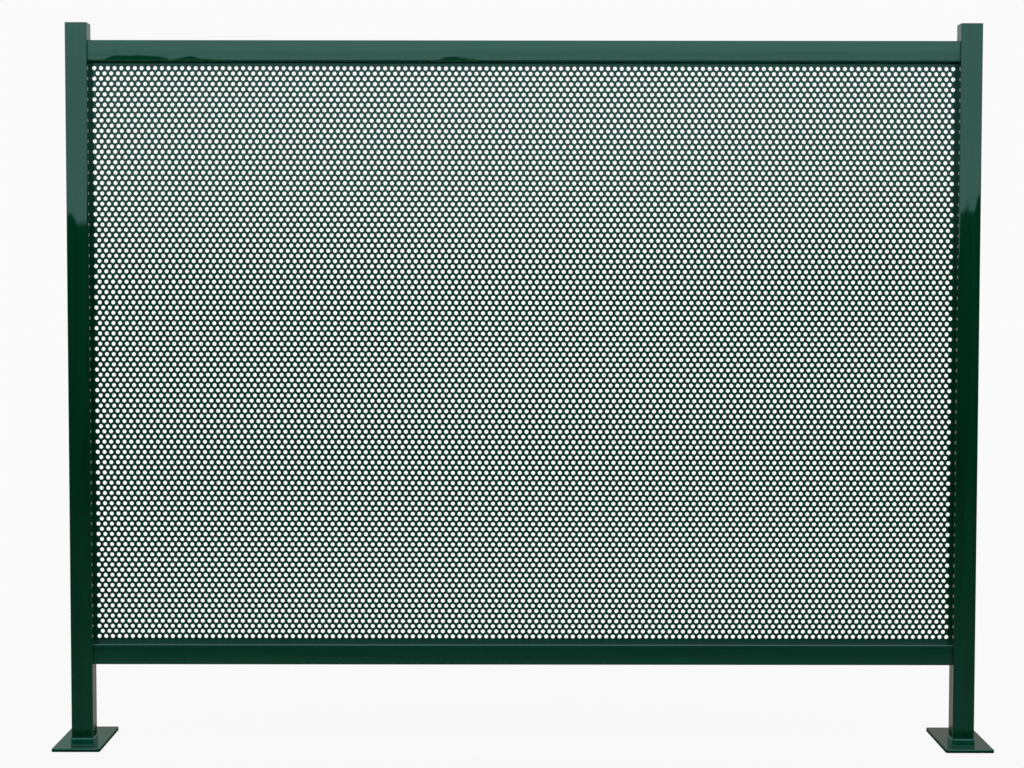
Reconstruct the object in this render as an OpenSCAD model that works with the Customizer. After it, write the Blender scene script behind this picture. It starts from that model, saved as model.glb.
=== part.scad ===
// Perforated metal fence panel: one free-standing bay, seen from its front (-Y).
// The origin is on the underside of the left base plate, on the left post's axis.
// +X runs along the bay to the right post, +Y to the back, +Z up.

/* [Bay] */
// Width over the outer faces of the two posts
bay_w = 2100; // [1600:50:2400]
// Height from the ground to the top of the post caps
bay_h = 1680; // [1500:10:1800]

/* [Posts] */
// Outer side of the square post tube
post_w = 50; // [50:1:60]
// Wall of the post tube
post_wall = 2; // [2:0.5:3]
// Outer corner radius of the post tube
post_r = 3; // [3:0.5:5]
// Thickness of the flat cap on the post's top
cap_t = 2.5; // [2:0.5:4]
// Depth of the cap's plug inside the tube
cap_plug = 12; // [8:1:20]
// Wall of the cap's plug
cap_wall = 2; // [1.5:0.5:3]

/* [Feet] */
// Base plate, along the bay
plate_w = 112; // [100:1:140]
// Base plate, front to back
plate_d = 240; // [200:5:260]
// Thickness of the base plate
plate_t = 8; // [5:1:10]
// Corner radius of the base plate
plate_r = 6; // [4:1:12]
// Bevel round the base plate's top
plate_bevel = 2; // [1:0.5:4]
// Strip of base plate in front of the post
plate_front = 26; // [15:1:40]
// How far the base plate's middle lies outward of the post's axis
plate_shift = 11; // [0:1:15]
// Height of the collar round the post's foot
collar_h = 19.5; // [12:0.5:30]
// How far the collar stands out from the post
collar_t = 2; // [1.5:0.5:3]
// Flat left on the collar's top by its bevel
collar_flat = 0.5; // [0.5:0.5:1.5]
// Height of the collar's bevel
collar_bevel = 3.5; // [1:0.5:5]

/* [Rails] */
// Height of the rail tube
rail_h = 48; // [40:1:60]
// Depth of the rail tube, front to back
rail_d = 30; // [25:1:40]
// Wall of the rail tube
rail_wall = 2; // [2:0.5:3]
// Outer corner radius of the rail tube
rail_r = 3; // [3:0.5:6]
// Drop from the post's top to the top rail's top
rail_drop = 39; // [20:1:80]
// Clearance from the ground to the bottom rail's underside
ground_gap = 198; // [120:1:250]

/* [Sheet] */
// Thickness of the perforated sheet
sheet_t = 2; // [1.5:0.5:3]
// Gap between the sheet and each post
sheet_gap = 0; // [0:0.5:5]
// How far the sheet laps each rail's back
sheet_lap = 34; // [20:1:38]
// Diameter of a hole
hole_d = 9.6; // [8:0.1:12]
// Spacing of the holes along a row
pitch_x = 15.6; // [14:0.1:20]
// Spacing of the rows, which are staggered by half a pitch
pitch_z = 12; // [11:0.5:16]
// Least distance from a post or rail to the nearest hole's centre
hole_margin = 9; // [8:1:30]
// Holes are cut at every n-th place of the full lattice
hole_step = 4; // [4:1:12]

/* [Hidden] */
$fn = 48;

green = "#0a3d2b";

post_pitch = bay_w - post_w;
clear_w = bay_w - 2 * post_w;
post_top = bay_h - cap_t;
top_rail_z = bay_h - rail_drop - rail_h;
bottom_rail_z = ground_gap;
bottom_rail_top = bottom_rail_z + rail_h;

sheet_w = clear_w - 2 * sheet_gap;
sheet_z = bottom_rail_top - sheet_lap;
sheet_h = top_rail_z + sheet_lap - sheet_z;

// The full lattice is centred in the opening between the posts and the rails. Its rows have columns holes
// and one fewer by turns.
clear_h = top_rail_z - bottom_rail_top;
columns = floor((clear_w - 2 * hole_margin) / pitch_x) + 1;
rows = floor((clear_h - 2 * hole_margin) / pitch_z) + 1;
first_x = (post_w + clear_w - (columns - 1) * pitch_x) / 2;
first_z = bottom_rail_top + (clear_h - (rows - 1) * pitch_z) / 2;

// Square or oblong with rounded corners, centred.
module rounded(w, h, r) {
  hull_w = w - 2 * r;
  hull_h = h - 2 * r;
  square([w, hull_h], center = true);
  square([hull_w, h], center = true);
  for (sx = [-1, 1], sy = [-1, 1])
    translate([sx * hull_w / 2, sy * hull_h / 2]) circle(r);
}

// Wall of a square or oblong tube.
module tube_section(w, h, r, wall) {
  difference() {
    rounded(w, h, r);
    rounded(w - 2 * wall, h - 2 * wall, r - wall);
  }
}

// A block w wide and d deep on z = 0, whose four top edges are bevelled by run inwards and drop downwards.
module bevelled_block(w, d, h, run, drop) {
  intersection() {
    rotate([90, 0, 0]) bevelled_outline(w, d, h, run, drop);
    rotate([90, 0, 90]) bevelled_outline(d, w, h, run, drop);
  }
}

module bevelled_outline(w, length, h, run, drop) {
  linear_extrude(length, center = true)
    polygon([
      [-w / 2, 0], [w / 2, 0], [w / 2, h - drop],
      [w / 2 - run, h], [run - w / 2, h], [-w / 2, h - drop]
    ]);
}

// outward is -1 at the left post and 1 at the right.
module base_plate(x, outward) {
  color(green)
    translate([x + outward * plate_shift, plate_d / 2 - plate_front - post_w / 2, 0])
      intersection() {
        linear_extrude(plate_t) rounded(plate_w, plate_d, plate_r);
        bevelled_block(plate_w, plate_d, plate_t, plate_bevel, plate_bevel);
      }
}

module foot_collar(x) {
  side = post_w + 2 * collar_t;
  color(green)
    translate([x, 0, plate_t])
      intersection() {
        linear_extrude(collar_h) tube_section(side, side, post_r + collar_t, collar_t);
        bevelled_block(side, side, collar_h, collar_t - collar_flat, collar_bevel);
      }
}

module post(x) {
  color(green)
    translate([x, 0, plate_t])
      linear_extrude(post_top - plate_t) tube_section(post_w, post_w, post_r, post_wall);
}

module post_cap(x) {
  plug = post_w - 2 * post_wall;
  color(green) translate([x, 0, post_top]) {
    linear_extrude(cap_t) rounded(post_w, post_w, post_r);
    translate([0, 0, -cap_plug])
      linear_extrude(cap_plug)
        difference() {
          rounded(plug, plug, post_r - post_wall);
          square(plug - 2 * cap_wall, center = true);
        }
  }
}

module rail(z) {
  color(green)
    translate([post_w / 2, 0, z + rail_h / 2])
      rotate([90, 0, 90])
        linear_extrude(clear_w) tube_section(rail_d, rail_h, rail_r, rail_wall);
}

// The sheet lies on the backs of the rails, between the posts.
module perforated_sheet() {
  color(green)
    translate([0, rail_d / 2 + sheet_t, 0])
      rotate([90, 0, 0])
        linear_extrude(sheet_t)
          difference() {
            translate([post_w / 2 + sheet_gap, sheet_z]) square([sheet_w, sheet_h]);
            perforation();
          }
}

// The full lattice made hole_step times as coarse: its stagger stays, and all its places are real ones.
// They are counted in half pitches, from 0 to 2 * columns - 2.
module perforation() {
  first_row = floor((rows - 1) % hole_step / 2);
  for (n = [0 : floor((rows - 1 - first_row) / hole_step)]) {
    row = first_row + n * hole_step;
    for (place = [first_row % 2 + n % 2 * hole_step : 2 * hole_step : 2 * columns - 2])
      translate([first_x + place * pitch_x / 2, first_z + row * pitch_z]) circle(d = hole_d);
  }
}

base_plate(0, -1);  // left_base_plate
base_plate(post_pitch, 1);  // right_base_plate
foot_collar(0);  // left_foot_collar
foot_collar(post_pitch);  // right_foot_collar
post(0);  // left_post
post(post_pitch);  // right_post
post_cap(0);  // left_post_cap
post_cap(post_pitch);  // right_post_cap
rail(top_rail_z);  // top_rail
rail(bottom_rail_z);  // bottom_rail
perforated_sheet();
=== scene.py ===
import math
from functools import partial

import bpy
import numpy as np
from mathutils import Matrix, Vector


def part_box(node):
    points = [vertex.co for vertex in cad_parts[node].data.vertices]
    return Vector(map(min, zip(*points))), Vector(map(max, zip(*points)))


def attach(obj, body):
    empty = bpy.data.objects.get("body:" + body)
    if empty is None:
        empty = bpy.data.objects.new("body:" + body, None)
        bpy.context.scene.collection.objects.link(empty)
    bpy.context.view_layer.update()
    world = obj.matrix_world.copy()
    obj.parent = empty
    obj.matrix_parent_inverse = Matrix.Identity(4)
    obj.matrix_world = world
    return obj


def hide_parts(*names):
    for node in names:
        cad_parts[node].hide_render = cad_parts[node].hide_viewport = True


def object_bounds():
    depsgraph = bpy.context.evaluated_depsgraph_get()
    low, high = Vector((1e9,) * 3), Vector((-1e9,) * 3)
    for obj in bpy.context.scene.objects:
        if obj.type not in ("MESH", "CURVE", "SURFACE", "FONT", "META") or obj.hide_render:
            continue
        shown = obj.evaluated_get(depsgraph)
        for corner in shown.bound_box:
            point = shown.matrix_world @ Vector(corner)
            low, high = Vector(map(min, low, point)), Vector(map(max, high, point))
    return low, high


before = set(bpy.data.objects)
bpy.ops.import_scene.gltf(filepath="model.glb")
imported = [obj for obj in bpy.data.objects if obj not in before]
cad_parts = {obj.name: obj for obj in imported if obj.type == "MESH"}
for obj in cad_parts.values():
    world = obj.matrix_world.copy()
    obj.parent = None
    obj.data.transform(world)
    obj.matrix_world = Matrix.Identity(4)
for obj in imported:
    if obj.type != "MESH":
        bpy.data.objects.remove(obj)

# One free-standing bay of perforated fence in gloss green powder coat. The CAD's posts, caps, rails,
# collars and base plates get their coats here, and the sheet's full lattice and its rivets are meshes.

CAD_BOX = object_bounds()
MM = 0.001

# The perforation, as the sheet is punched
HOLE_D = 9.6 * MM
PITCH_X = 15.6 * MM
PITCH_Z = 12.0 * MM
HOLE_MARGIN = 9.0 * MM
HOLE_SIDES = 12
ROWS_A_PIECE = 23
ROUNDING = 1e-6

# The rivets along each rail, and a head's profile: its radius and height above the sheet's back
RIVETS_A_RAIL = 9
RIVET_INSET = 50.0 * MM
RIVET_SIDES = 20
RIVET_PROFILE_MM = [
    (4.8, -0.5), (4.8, 0.2), (4.4, 0.9), (3.4, 1.5), (1.9, 1.8), (1.5, 1.8), (1.4, 1.0)
]

# The camera: a 74 mm lens about 4.8 m in front of the bay
LENS_MM = 73.6
SENSOR_MM = 36
CLIP_END = 200
CAMERA_OFFSET_X = -0.025
CAMERA_Y = -4.845
CAMERA_Z = 1.110
CAMERA_PITCH = math.radians(3.05)
CAMERA_ROLL = -0.0012
CAMERA_YAW = 0.0003

# Linear colours
GREEN = (0.0008, 0.0270, 0.0110)
RAIL_GREEN = (0.0014, 0.0325, 0.0150)
SHEET_GREEN = (0.0010, 0.0360, 0.0195)
# The collar's green is lighter than the post's: painted bounce light from the base plate
COLLAR_GREEN_PAINTED_BOUNCE = (0.0012, 0.0540, 0.0330)
GLOSS_TINT = (0.45, 1.0, 0.93)
WHITE = (1.0, 1.0, 1.0)

# The stage's levels, where 1 is white
BACKDROP = 0.955
EVEN_LIGHT = 0.9
FLOOR_MATT = 0.07
FLOOR_BOUNCE = 0.8
FLOOR_HALF = 40.0
FLOOR_DROP = 0.0005

# What the gloss mirrors in front of the fence and behind it: degrees above the horizon, and a colour
FRONT_STUDIO = [
    (-25, (0.22, 0.22, 0.19)),
    (-12, (0.133, 0.170, 0.150)),
    (-8.5, (0.049, 0.070, 0.072)),
    (-5, (0.0, 0.005, 0.0)),
    (0.0, (0.0, 0.075, 0.027)),
    (1.70, (0.0, 0.10, 0.043)),
    (1.80, (1.02, 1.00, 1.01)),
    (4.5, (0.95, 0.96, 0.96)),
    (6.2, (1.00, 1.04, 1.03)),
    (7.5, (1.16, 1.16, 1.16)),
    (28, (1.18, 1.18, 1.20)),
]
BEHIND_STUDIO = [
    (-10, (0.38, 0.33, 0.29)),
    (0, (0.36, 0.34, 0.31)),
    (6.5, (0.48, 0.52, 0.49)),
    (9, (0.33, 0.32, 0.30)),
    (12.2, (0.310, 0.265, 0.255)),
    (13.0, (0.190, 0.390, 0.330)),
    (30, (0.95, 0.95, 0.95)),
]
HORIZON_TILT = 0.0240
SIDE_BLEND = 0.35

# The painted shadow round each foot, a dark patch on the floor that only the gloss mirrors: its colour,
# and its reach past the base plate
FOOT_PAINTED_SHADOW = (0.002, 0.040, 0.020)
DARK_IN_FRONT = 0.16
DARK_BEHIND = 0.03
DARK_BESIDE = 0.01
DARK_EASE = 0.05

# The coat: its refraction, the noise values between which its tone goes from the darker share to the
# lighter, where the slow waves are taken from the noise, and the orange peel's fineness and height
COAT_IOR = 1.5
TONE_NOISE = (0.30, 0.72)
TONE_SHARE = (0.80, 1.22)
WAVE_PLACE = (0.90, 0.63, 1.17)
PEEL_A_METRE = 700
PEEL_HEIGHT = 0.000001
PEEL_STRENGTH = 0.4

# How a rail's face is crowned, as crown() takes it, and the noise along it that twists it
RAIL_CROWNS = {
    "top_rail": {"slope": 0.0390, "ease": 0.008, "twist": 0.040, "unwind": -0.006},
    "bottom_rail": {"slope": 0.080, "ease": 0.100, "twist": 0.010, "unwind": 0.0},
}
TWISTS_A_METRE = 9
TWIST_PLACE = (0.95, 0.3, 0.7)


# ---------------------------------------------------------------- materials

def new_material(name):
    """A node material with only its Principled shader and output left in it."""
    mat = bpy.data.materials.new(name)
    mat.use_nodes = True
    return mat, mat.node_tree.nodes, mat.node_tree.links


def math_node(nodes, links, operation, first, second=None):
    node = nodes.new("ShaderNodeMath")
    node.operation = operation
    for number, value in enumerate((first, second)):
        if isinstance(value, float):
            node.inputs[number].default_value = value
        elif value is not None:
            links.new(value, node.inputs[number])
    return node.outputs["Value"]


def noise(nodes, links, place, a_metre, detail, location=(0, 0, 0)):
    """Noise in the object's own space, a_metre along each axis."""
    stretch = nodes.new("ShaderNodeMapping")
    stretch.inputs["Scale"].default_value = a_metre
    stretch.inputs["Location"].default_value = location
    links.new(place.outputs["Object"], stretch.inputs["Vector"])
    texture = nodes.new("ShaderNodeTexNoise")
    texture.inputs["Scale"].default_value = 1.0
    texture.inputs["Detail"].default_value = detail
    links.new(stretch.outputs["Vector"], texture.inputs["Vector"])
    return texture.outputs["Fac"]


def bump(nodes, links, height, distance, strength=1.0, normal=None):
    """The normal bumped by height times distance, on top of the normal given."""
    node = nodes.new("ShaderNodeBump")
    node.inputs["Strength"].default_value = strength
    node.inputs["Distance"].default_value = distance
    links.new(height, node.inputs["Height"])
    if normal:
        links.new(normal, node.inputs["Normal"])
    return node.outputs["Normal"]


def crown(nodes, links, place, middle, slope, ease, twist, unwind):
    """Height of a rail's face that slopes away to both sides of the level line at z = middle,
    rounded over ease. It is twisted a little this way and that along the rail, and by unwind a
    metre towards its right end."""
    calc = partial(math_node, nodes, links)
    split = nodes.new("ShaderNodeSeparateXYZ")
    links.new(place.outputs["Object"], split.inputs["Vector"])
    above = calc("SUBTRACT", split.outputs["Z"], middle)
    away = calc("SQRT", calc("ADD", calc("POWER", above, 2.0), ease * ease))
    turn = noise(nodes, links, place, (TWISTS_A_METRE, 0, 0), detail=3.0, location=TWIST_PLACE)
    there_and_back = calc("MULTIPLY", calc("SUBTRACT", turn, 0.5), twist)
    turned = calc("ADD", there_and_back, calc("MULTIPLY", split.outputs["X"], unwind))
    return calc("ADD", calc("MULTIPLY", away, -slope), calc("MULTIPLY", turned, above))


def powder_coat(name, color, roughness, streaks, waves, wave_height, bulge=None, specular=1.0):
    """Gloss powder coat: faint streaks of tone, orange peel and a slow unevenness of the tube wall.
    streaks and waves are frequencies per metre along each axis, and bulge is what crown() takes."""
    mat, nodes, links = new_material(name)
    shader = nodes["Principled BSDF"]
    shader.inputs["Roughness"].default_value = roughness
    shader.inputs["IOR"].default_value = COAT_IOR
    shader.inputs["Specular IOR Level"].default_value = specular
    shader.inputs["Specular Tint"].default_value = (*GLOSS_TINT, 1)
    place = nodes.new("ShaderNodeTexCoord")

    ramp = nodes.new("ShaderNodeValToRGB")
    for element, position, share in zip(ramp.color_ramp.elements, TONE_NOISE, TONE_SHARE):
        element.position = position
        element.color = (*[c * share for c in color], 1)
    links.new(noise(nodes, links, place, streaks, detail=4.0), ramp.inputs["Fac"])
    links.new(ramp.outputs["Color"], shader.inputs["Base Color"])

    normal = None
    if bulge:
        normal = bump(nodes, links, crown(nodes, links, place, **bulge), distance=1.0)
    slow = noise(nodes, links, place, waves, detail=1.0, location=WAVE_PLACE)
    normal = bump(nodes, links, slow, wave_height, normal=normal)
    peel = noise(nodes, links, place, [PEEL_A_METRE] * 3, detail=2.0)
    normal = bump(nodes, links, peel, PEEL_HEIGHT, PEEL_STRENGTH, normal)
    links.new(normal, shader.inputs["Normal"])
    return mat


def assign(obj, mat):
    obj.data.materials.clear()
    obj.data.materials.append(mat)


def on_node(name, mat):
    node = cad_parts[name]
    for slot in node.material_slots:
        slot.material = mat


# ---------------------------------------------------------------- perforated sheet

def mesh_object(name, verts, faces, smooth=None):
    """A mesh, of which the faces from smooth[0] up to smooth[1] are shaded smooth."""
    mesh = bpy.data.meshes.new(name)
    mesh.from_pydata(verts, [], faces)
    mesh.update()
    if smooth:
        flags = np.zeros(len(faces), dtype=bool)
        flags[smooth[0]:smooth[1]] = True
        mesh.polygons.foreach_set("use_smooth", flags)
    obj = bpy.data.objects.new(name, mesh)
    bpy.context.scene.collection.objects.link(obj)
    return obj


def lattice():
    """The full staggered lattice in the opening, worked out as the CAD does: columns, rows and the
    first hole's centre. Odd rows are shifted by half a pitch and have one hole fewer."""
    x0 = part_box("left_post")[1][0]
    x1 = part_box("right_post")[0][0]
    z0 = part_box("bottom_rail")[1][2]
    z1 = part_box("top_rail")[0][2]
    columns = math.floor((x1 - x0 - 2 * HOLE_MARGIN) / PITCH_X + ROUNDING) + 1
    rows = math.floor((z1 - z0 - 2 * HOLE_MARGIN) / PITCH_Z + ROUNDING) + 1
    first_x = (x0 + x1 - (columns - 1) * PITCH_X) / 2
    first_z = (z0 + z1 - (rows - 1) * PITCH_Z) / 2
    return columns, rows, first_x, first_z


def sheet_piece(name, rows, grid, edges, depth):
    """One run of hole rows as a closed solid. Each hole sits in a brick of the running bond that the
    stagger makes: six outer corners shared with its neighbours, and a ring of HOLE_SIDES points."""
    columns, first_x, first_z = grid
    left, right, low, high = edges
    half = PITCH_X / 2
    line_xs = [left] + [first_x + k * half for k in range(-1, 2 * columns)] + [right]
    n = len(line_xs)
    line_zs = [first_z + (r - 0.5) * PITCH_Z for r in rows]
    line_zs.append(first_z + (rows[-1] + 0.5) * PITCH_Z)
    if low is not None:
        line_zs.insert(0, low)
    if high is not None:
        line_zs.append(high)
    first_line = 0 if low is None else 1

    flat = [(x, z) for z in line_zs for x in line_xs]
    ring_start = len(flat)
    turns = [2 * math.pi * (i + 0.5) / HOLE_SIDES for i in range(HOLE_SIDES)]
    for row in rows:
        for column in range(columns - row % 2):
            x = first_x + (column + (row % 2) / 2) * PITCH_X
            z = first_z + row * PITCH_Z
            flat += [(x + HOLE_D / 2 * math.cos(a), z + HOLE_D / 2 * math.sin(a)) for a in turns]

    front = []

    def quad(line, k):
        a = line * n + k
        front.append((a, a + 1, a + n + 1, a + n))

    for k in range(n - 1):
        if low is not None:
            quad(0, k)
        if high is not None:
            quad(len(line_zs) - 2, k)

    # Around each hole, the brick's corners take the ring's points that lie between them
    ring = ring_start
    for line, row in enumerate(rows, first_line):
        shift = row % 2
        quad(line, 0)
        quad(line, n - 2)
        if shift:
            quad(line, 1)
            quad(line, n - 3)
        for column in range(columns - shift):
            middle = 2 + 2 * column + shift
            base = line * n
            outer = [
                base + middle + 1, base + n + middle + 1, base + n + middle,
                base + n + middle - 1, base + middle - 1, base + middle,
            ]
            centre = (first_x + (column + shift / 2) * PITCH_X, first_z + row * PITCH_Z)
            front += brick(outer, ring, centre, flat)
            ring += HOLE_SIDES

    count = len(flat)
    verts = [(x, depth[0], z) for x, z in flat] + [(x, depth[1], z) for x, z in flat]
    back = [tuple(i + count for i in reversed(f)) for f in front]
    walls = []
    for ring in range(ring_start, count, HOLE_SIDES):
        for i in range(HOLE_SIDES):
            a, b = ring + i, ring + (i + 1) % HOLE_SIDES
            walls.append((a, b, b + count, a + count))
    rim = []
    top_line = (len(line_zs) - 1) * n
    for k in range(n - 1):
        rim.append((k, k + count, k + 1 + count, k + 1))
        a = top_line + k
        rim.append((a, a + 1, a + 1 + count, a + count))
    for line in range(len(line_zs) - 1):
        a, b = line * n, (line + 1) * n
        rim.append((a, b, b + count, a + count))
        a, b = line * n + n - 1, (line + 1) * n + n - 1
        rim.append((a, a + count, b + count, b))
    faces = front + back + walls + rim
    start = len(front) + len(back)
    return mesh_object(name, verts, faces, (start, start + len(walls)))


def brick(outer, ring, centre, flat):
    """Triangles between the brick's six corners and the hole's ring, going round by angle."""
    def angle(i):
        return math.atan2(flat[i][1] - centre[1], flat[i][0] - centre[0]) % (2 * math.pi)

    points = [(angle(i), 0, i) for i in outer]
    points += [(angle(i), 1, i) for i in range(ring, ring + HOLE_SIDES)]
    points.sort()
    last_outer = max(p for p in points if p[1] == 0)[2]
    last_ring = max(p for p in points if p[1] == 1)[2]
    made = []
    for _, is_ring, i in points:
        made.append((last_outer, i, last_ring))
        if is_ring:
            last_ring = i
        else:
            last_outer = i
    return made


def perforated_sheet(mat):
    columns, rows, first_x, first_z = lattice()
    lo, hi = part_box("perforated_sheet")
    starts = range(0, rows, ROWS_A_PIECE)
    for number, start in enumerate(starts, 1):
        run = list(range(start, min(start + ROWS_A_PIECE, rows)))
        low = lo[2] if start == 0 else None
        high = hi[2] if run[-1] == rows - 1 else None
        grid = (columns, first_x, first_z)
        edges = (lo[0], hi[0], low, high)
        piece = sheet_piece(f"sheet_rows_{number}", run, grid, edges, (lo[1], hi[1]))
        assign(piece, mat)
        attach(piece, "root")
        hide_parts("perforated_sheet")


def add_rivet(verts, faces, place):
    """One head on the sheet's back, turned from its profile."""
    start = len(verts)
    for radius_mm, out_mm in RIVET_PROFILE_MM:
        radius = radius_mm * MM
        y = place[1] + out_mm * MM
        for i in range(RIVET_SIDES):
            turn = 2 * math.pi * i / RIVET_SIDES
            verts.append((place[0] + radius * math.cos(turn), y, place[2] + radius * math.sin(turn)))
    last = len(verts) - RIVET_SIDES
    for ring in range(start, last, RIVET_SIDES):
        for i in range(RIVET_SIDES):
            a, b = ring + i, ring + (i + 1) % RIVET_SIDES
            faces.append((a, a + RIVET_SIDES, b + RIVET_SIDES, b))
    faces.append(tuple(range(start, start + RIVET_SIDES)))
    faces.append(tuple(reversed(range(last, last + RIVET_SIDES))))


def rivets(mat):
    """Blind rivets that hold the sheet's laps to the backs of the rails, as one mesh."""
    lo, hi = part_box("perforated_sheet")
    heights = ((lo[2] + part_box("bottom_rail")[1][2]) / 2, (hi[2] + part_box("top_rail")[0][2]) / 2)
    step = (hi[0] - lo[0] - 2 * RIVET_INSET) / (RIVETS_A_RAIL - 1)
    verts, faces = [], []
    for z in heights:
        for number in range(RIVETS_A_RAIL):
            add_rivet(verts, faces, (lo[0] + RIVET_INSET + number * step, hi[1], z))
    heads = mesh_object("sheet_rivets", verts, faces, (0, len(faces)))
    assign(heads, mat)
    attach(heads, "root")


# ---------------------------------------------------------------- stage

def studio():
    """What the gloss mirrors: a bright studio over a dark ground in front, and a grey wall behind.
    The eye sees the backdrop itself, and matt surfaces get an even white light."""
    world = bpy.data.worlds.new("studio")
    bpy.context.scene.world = world
    world.use_nodes = True
    nodes, links = world.node_tree.nodes, world.node_tree.links
    nodes.clear()
    out = nodes.new("ShaderNodeOutputWorld")
    path = nodes.new("ShaderNodeLightPath")
    place = nodes.new("ShaderNodeTexCoord")
    tilt = nodes.new("ShaderNodeMapping")
    tilt.inputs["Rotation"].default_value = (0, HORIZON_TILT, 0)
    links.new(place.outputs["Generated"], tilt.inputs["Vector"])
    split = nodes.new("ShaderNodeSeparateXYZ")
    links.new(tilt.outputs["Vector"], split.inputs["Vector"])

    def sin(degrees):
        return math.sin(math.radians(degrees))

    def ramp(source, lowest, highest, stops):
        """Colours by how many degrees a direction points above the horizon; source is its sine."""
        low, high = sin(lowest), sin(highest)
        span = nodes.new("ShaderNodeMapRange")
        span.inputs["From Min"].default_value = low
        span.inputs["From Max"].default_value = high
        links.new(source, span.inputs["Value"])
        node = nodes.new("ShaderNodeValToRGB")
        elements = node.color_ramp.elements
        while len(elements) < len(stops):
            elements.new(0.5)
        for element, (degrees, colour) in zip(elements, stops):
            element.position = (sin(degrees) - low) / (high - low)
            element.color = (*colour, 1)
        links.new(span.outputs["Result"], node.inputs["Fac"])
        return node.outputs["Color"]

    front = ramp(split.outputs["Z"], lowest=-30, highest=30, stops=FRONT_STUDIO)
    behind = ramp(split.outputs["Z"], lowest=-30, highest=60, stops=BEHIND_STUDIO)
    side = nodes.new("ShaderNodeMapRange")
    side.inputs["From Min"].default_value = -SIDE_BLEND
    side.inputs["From Max"].default_value = SIDE_BLEND
    links.new(split.outputs["Y"], side.inputs["Value"])
    mirrored = nodes.new("ShaderNodeMixRGB")
    links.new(side.outputs["Result"], mirrored.inputs["Fac"])
    links.new(front, mirrored.inputs["Color1"])
    links.new(behind, mirrored.inputs["Color2"])

    seen = nodes.new("ShaderNodeBackground")
    seen.inputs["Color"].default_value = (BACKDROP, BACKDROP, BACKDROP, 1)
    gloss = nodes.new("ShaderNodeBackground")
    links.new(mirrored.outputs["Color"], gloss.inputs["Color"])
    even = nodes.new("ShaderNodeBackground")
    even.inputs["Color"].default_value = (*WHITE, 1)
    even.inputs["Strength"].default_value = EVEN_LIGHT

    gloss_or_even = nodes.new("ShaderNodeMixShader")
    links.new(path.outputs["Is Glossy Ray"], gloss_or_even.inputs["Fac"])
    links.new(even.outputs["Background"], gloss_or_even.inputs[1])
    links.new(gloss.outputs["Background"], gloss_or_even.inputs[2])
    camera_or = nodes.new("ShaderNodeMixShader")
    links.new(path.outputs["Is Camera Ray"], camera_or.inputs["Fac"])
    links.new(gloss_or_even.outputs["Shader"], camera_or.inputs[1])
    links.new(seen.outputs["Background"], camera_or.inputs[2])
    links.new(camera_or.outputs["Shader"], out.inputs["Surface"])


def floor():
    """A pale floor that melts into the backdrop and keeps a faint shadow."""
    corners = [(x * FLOOR_HALF, y * FLOOR_HALF, 0) for x, y in ((-1, -1), (1, -1), (1, 1), (-1, 1))]
    obj = mesh_object("floor", corners, [(0, 1, 2, 3)])
    obj.location.z = CAD_BOX[0][2] - FLOOR_DROP
    mat, nodes, links = new_material("floor")
    nodes.remove(nodes["Principled BSDF"])
    out = nodes["Material Output"]
    path = nodes.new("ShaderNodeLightPath")

    def mix(share, first, second):
        node = nodes.new("ShaderNodeMixShader")
        links.new(share, node.inputs["Fac"])
        links.new(first, node.inputs[1])
        links.new(second, node.inputs[2])
        return node.outputs["Shader"]

    matt = nodes.new("ShaderNodeBsdfDiffuse")
    matt.inputs["Color"].default_value = (FLOOR_MATT, FLOOR_MATT, FLOOR_MATT, 1)
    glow = nodes.new("ShaderNodeEmission")
    glow.inputs["Color"].default_value = (*WHITE, 1)
    glow.inputs["Strength"].default_value = BACKDROP - FLOOR_MATT * EVEN_LIGHT
    both = nodes.new("ShaderNodeAddShader")
    links.new(matt.outputs["BSDF"], both.inputs[0])
    links.new(glow.outputs["Emission"], both.inputs[1])
    bounce = nodes.new("ShaderNodeBsdfDiffuse")
    bounce.inputs["Color"].default_value = (FLOOR_BOUNCE, FLOOR_BOUNCE, FLOOR_BOUNCE, 1)
    clear = nodes.new("ShaderNodeBsdfTransparent")
    # Painted shadow: a dark patch round each foot that only glossy rays see, so the coat mirrors a
    # shadow there
    painted_shadow = nodes.new("ShaderNodeBsdfDiffuse")
    painted_shadow.inputs["Color"].default_value = (*FOOT_PAINTED_SHADOW, 1)

    mirrored = mix(foot_shade(nodes, links), clear.outputs["BSDF"], painted_shadow.outputs["BSDF"])
    unseen = mix(path.outputs["Is Glossy Ray"], bounce.outputs["BSDF"], mirrored)
    links.new(mix(path.outputs["Is Camera Ray"], unseen, both.outputs["Shader"]), out.inputs["Surface"])
    assign(obj, mat)


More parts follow.
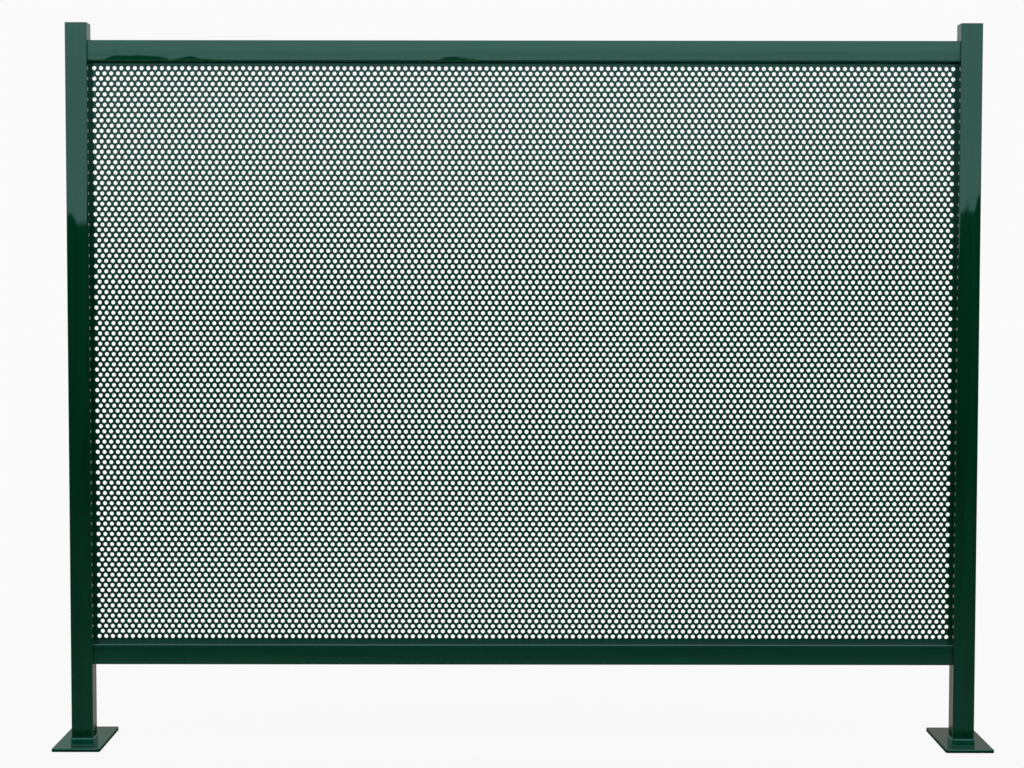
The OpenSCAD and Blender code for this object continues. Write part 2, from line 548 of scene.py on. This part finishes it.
def foot_shade(nodes, links):
    """1 on the floor close round either foot, where the gloss mirrors its shadow, and 0 further off."""
    lo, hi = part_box("left_base_plate")
    bay_middle = (lo[0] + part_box("right_base_plate")[1][0]) / 2
    low_y, high_y = lo[1] - DARK_IN_FRONT, hi[1] + DARK_BEHIND
    calc = partial(math_node, nodes, links)
    place = nodes.new("ShaderNodeNewGeometry")
    split = nodes.new("ShaderNodeSeparateXYZ")
    links.new(place.outputs["Position"], split.inputs["Vector"])

    def near(value, middle, half):
        """1 within half of middle, easing to 0 over the next DARK_EASE."""
        away = calc("ABSOLUTE", calc("SUBTRACT", value, middle))
        ease = nodes.new("ShaderNodeMapRange")
        ease.interpolation_type = "SMOOTHSTEP"
        ease.inputs["From Min"].default_value = half
        ease.inputs["From Max"].default_value = half + DARK_EASE
        ease.inputs["To Min"].default_value = 1.0
        ease.inputs["To Max"].default_value = 0.0
        links.new(away, ease.inputs["Value"])
        return ease.outputs["Result"]

    off_middle = calc("ABSOLUTE", calc("SUBTRACT", split.outputs["X"], bay_middle))
    across = near(off_middle, bay_middle - (lo[0] + hi[0]) / 2, (hi[0] - lo[0]) / 2 + DARK_BESIDE)
    along = near(split.outputs["Y"], (low_y + high_y) / 2, (high_y - low_y) / 2)
    return calc("MULTIPLY", across, along)


def camera():
    data = bpy.data.cameras.new("camera")
    data.lens = LENS_MM
    data.sensor_width = SENSOR_MM
    data.clip_end = CLIP_END
    obj = bpy.data.objects.new("camera", data)
    bpy.context.scene.collection.objects.link(obj)
    centre = (CAD_BOX[0][0] + CAD_BOX[1][0]) / 2
    obj.location = (centre + CAMERA_OFFSET_X, CAMERA_Y, CAMERA_Z)
    obj.rotation_mode = "XYZ"
    obj.rotation_euler = (math.pi / 2 - CAMERA_PITCH, CAMERA_ROLL, CAMERA_YAW)
    bpy.context.scene.camera = obj


bpy.context.scene.view_settings.view_transform = "Standard"

camera()
studio()
floor()

upright = powder_coat(
    "upright_coat", GREEN, roughness=0.02, streaks=(90, 90, 2), waves=(22, 22, 6), wave_height=0.0009
)
# The collar's coat is the post's coat with painted bounce light from the base plate in its lighter
# green
collar = powder_coat(
    "collar_coat_painted_bounce", COLLAR_GREEN_PAINTED_BOUNCE, roughness=0.05, streaks=(40, 40, 40), waves=(20, 20, 20),
    wave_height=0.0001, specular=0.7
)
plate = powder_coat(
    "plate_coat", GREEN, roughness=0.06, streaks=(25, 25, 25), waves=(12, 12, 12), wave_height=0.0001
)
sheet = powder_coat(
    "sheet_coat", SHEET_GREEN, roughness=0.12, streaks=(40, 40, 40), waves=(3, 3, 3),
    wave_height=0.0002, specular=0.6
)
for rail, bulge in RAIL_CROWNS.items():
    lo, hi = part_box(rail)
    coat = powder_coat(
        f"{rail}_coat", RAIL_GREEN, roughness=0.02, streaks=(2, 90, 90), waves=(9, 20, 20),
        wave_height=0.0002, bulge={"middle": (lo[2] + hi[2]) / 2, **bulge}
    )
    on_node(rail, coat)
for side in ("left", "right"):
    on_node(f"{side}_post", upright)
    on_node(f"{side}_post_cap", upright)
    on_node(f"{side}_foot_collar", collar)
    on_node(f"{side}_base_plate", plate)
perforated_sheet(sheet)
rivets(sheet)
